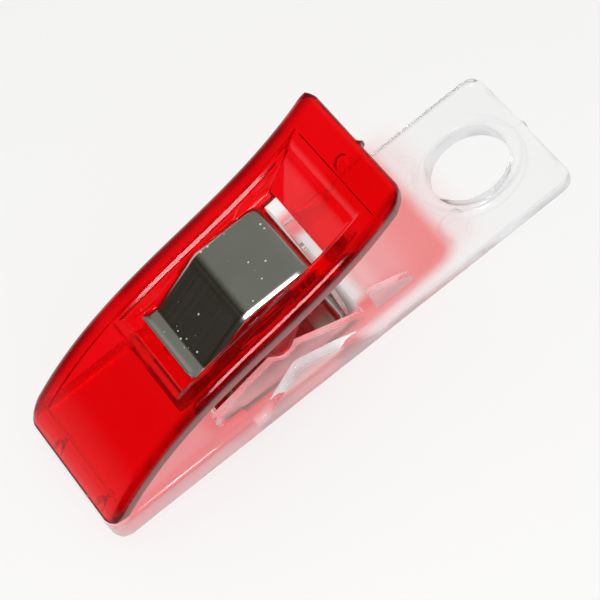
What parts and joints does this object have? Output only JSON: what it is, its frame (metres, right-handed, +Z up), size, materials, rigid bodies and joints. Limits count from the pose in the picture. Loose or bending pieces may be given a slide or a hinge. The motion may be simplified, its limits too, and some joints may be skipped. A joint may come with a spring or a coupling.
{
  "type": "sprung craft clip",
  "caption": "Flat-based sprung clip for holding leather or fabric edges: a curved lever rocks on a clear base with a hanging hole, closed by a folded steel strip.",
  "frame": {"origin": "centre of the base's rectangle, on the surface it stands on", "axes": "+X from the jaws to the tail with the hanging hole, +Y across the clip, +Z up from the flat base to the lever"},
  "size_m": [0.055, 0.018, 0.0151],
  "materials": {
    "clear_plastic": "clear moulded polycarbonate, polished",
    "red_plastic": "translucent red moulded plastic, polished",
    "bright_steel": "bright nickel-plated spring steel strip"
  },
  "bodies": {
    "base": {"base": "clear_plastic"},
    "lever": {"lever": "red_plastic"},
    "spring": {"spring": "bright_steel"}
  },
  "joints": [
    {"name": "lever_rock", "type": "hinge", "parent": "base", "child": "lever", "pos_m": [-0.0043, 0, 0.0059], "axis": [0, 1, 0], "range_deg": [0, 30], "stiffness_Nm_per_rad": 0.0004, "springref_deg": -68.75},
    {"name": "spring_flex", "type": "hinge", "parent": "base", "child": "spring", "pos_m": [0.0028, 0, 0.0019], "axis": [0, 1, 0], "range_deg": [0, 15.5], "deforming": ["spring"]}
  ],
  "couplings": [
    {"joint": "spring_flex", "follows": "lever_rock", "ratio": 0.5}
  ]
}
